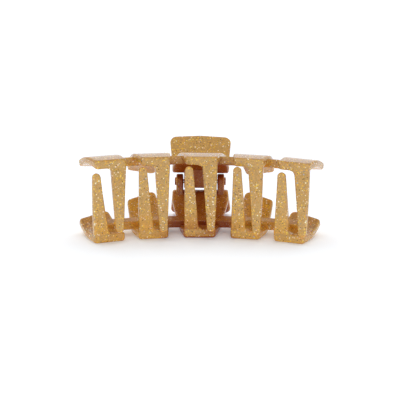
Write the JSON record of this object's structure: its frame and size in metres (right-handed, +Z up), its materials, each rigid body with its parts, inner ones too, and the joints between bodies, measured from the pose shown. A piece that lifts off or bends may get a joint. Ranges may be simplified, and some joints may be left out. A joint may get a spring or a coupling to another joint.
{
  "type": "claw clip",
  "caption": "Large claw hair clip: two fanned, toothed jaws with finger handles, joined by a steel pin and closed by a coiled torsion spring.",
  "frame": {"origin": "middle of the flat under the lower jaw's middle strip, on the surface the clip rests on", "axes": "+X along the clip to the right, +Y from the teeth back to the handles, +Z up"},
  "size_m": [0.1044, 0.0637, 0.0376],
  "materials": {
    "glitter_plastic": "translucent amber plastic full of fine gold and silver glitter, polished",
    "spring_steel": "bright drawn wire"
  },
  "bodies": {
    "lower": {"lower_jaw": "glitter_plastic", "hinge_pin": "spring_steel", "torsion_spring": "spring_steel"},
    "upper": {"upper_jaw": "glitter_plastic"}
  },
  "joints": [
    {"name": "jaw_hinge", "type": "hinge", "parent": "lower", "child": "upper", "pos_m": [0, 0.03067, 0.0184], "axis": [-1, 0, 0], "range_deg": [0, 75], "stiffness_Nm_per_rad": 0.12, "springref_deg": -45.84, "deforming": ["torsion_spring"]}
  ]
}
